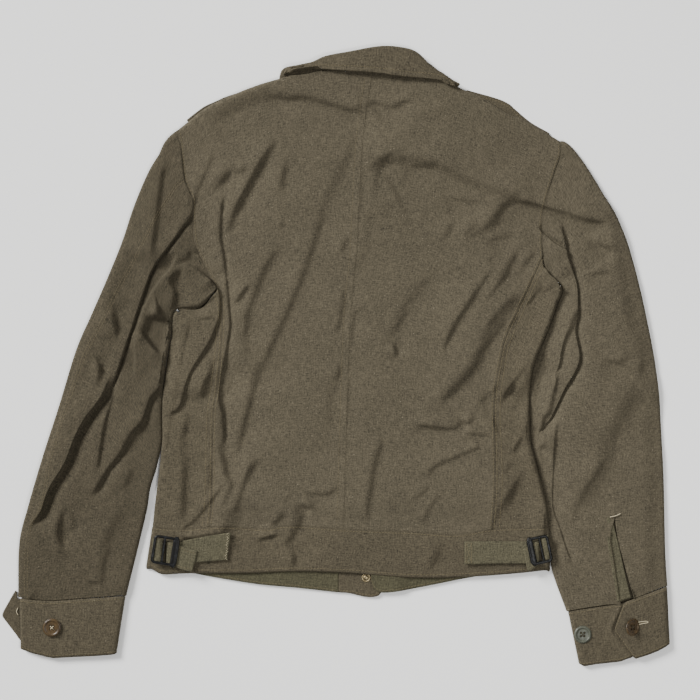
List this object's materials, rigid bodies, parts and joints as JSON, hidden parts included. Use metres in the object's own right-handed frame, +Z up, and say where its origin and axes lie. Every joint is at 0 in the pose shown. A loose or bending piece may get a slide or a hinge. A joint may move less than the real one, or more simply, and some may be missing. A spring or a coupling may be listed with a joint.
{
  "type": "waist-length wool field jacket, laid flat back up",
  "caption": "Waist-length wool jacket laid flat with its back up: plain back with a centre seam, sleeves with pointed cuff tabs, fallen collar, waistband with buckled side straps.",
  "frame": {"origin": "middle of the laid jacket's box, on the surface it lies on", "axes": "+X to the viewer's right across the sleeves, +Y from the waist towards the collar, +Z up, out of the back panel"},
  "size_m": [0.7468, 0.6926, 0.0123],
  "materials": {
    "serge": "olive drab wool serge, heathered twill, slight nap",
    "serge_reverse": "greener and less worn side of the same serge",
    "blacked_steel": "blacked sheet steel, satin, worn at the edges",
    "button_brown": "moulded dark brown plastic, semi-gloss",
    "button_grey": "moulded grey-green plastic, satin",
    "snap_metal": "worn stamped brass, gone dull"
  },
  "bodies": {
    "root": {"back_left": "serge", "back_right": "serge", "side_left": "serge", "side_right": "serge", "front_left": "serge", "front_right": "serge", "sleeve_upper_left": "serge", "sleeve_upper_right": "serge", "sleeve_under_left": "serge", "sleeve_under_right": "serge", "sleeve_placket_right": "serge", "collar": "serge", "shoulder_strap_left": "serge", "shoulder_strap_right": "serge", "cuff_left": "serge", "cuff_right": "serge", "waistband_back": "serge", "waistband_tab_left": "serge", "waistband_front_left": "serge_reverse", "waistband_front_right": "serge_reverse", "waist_strap_left": "serge_reverse", "waist_strap_right": "serge_reverse", "buckle_loop_left": "serge", "buckle_loop_right": "serge", "buckle_left": "blacked_steel", "buckle_right": "blacked_steel", "cuff_button_left": "button_brown", "cuff_button_right": "button_brown", "spare_button_right": "button_grey", "waistband_snap": "snap_metal"}
  },
  "joints": []
}
